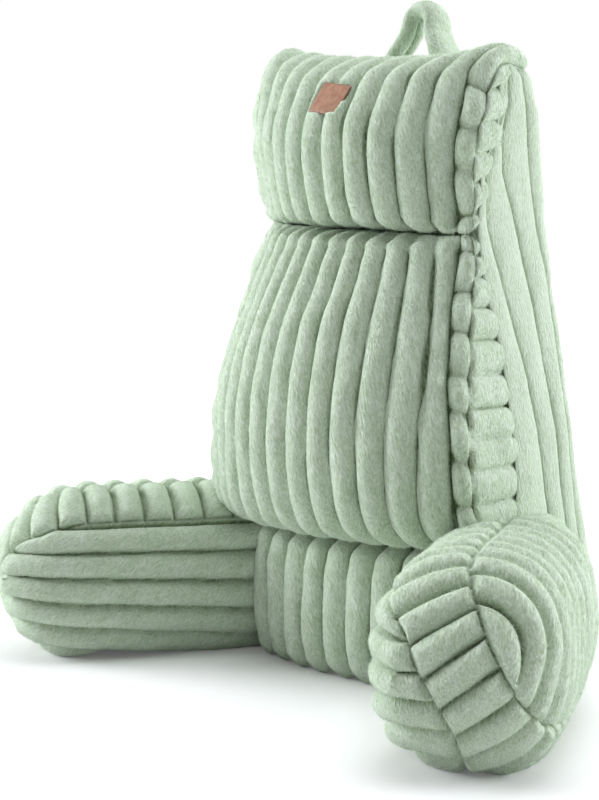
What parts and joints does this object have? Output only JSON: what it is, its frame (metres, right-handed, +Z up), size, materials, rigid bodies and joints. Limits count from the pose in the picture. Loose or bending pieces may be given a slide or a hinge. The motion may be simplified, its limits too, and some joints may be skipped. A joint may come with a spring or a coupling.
{
  "type": "reading pillow with arms",
  "caption": "Upright reading pillow of ribbed plush with a head roll, lumbar cushion, splayed armrests, a carry handle and a small leather patch.",
  "frame": {"origin": "middle of the bounding box on the floor, under the pillow", "axes": "+X to the sitter's left arm as seen from the front on the right, the front faces -Y, +Z up"},
  "size_m": [0.7796, 0.4242, 0.729],
  "materials": {
    "sage_plush": "short soft pile, matt, sewn into ribs",
    "brown_leather": "smooth, satin, bare"
  },
  "bodies": {
    "root": {"back_frame": "sage_plush", "head_roll": "sage_plush", "lumbar_bolster": "sage_plush", "lower_front": "sage_plush", "arm_left": "sage_plush", "arm_right": "sage_plush", "carry_handle": "sage_plush", "label_patch": "brown_leather"}
  },
  "joints": []
}
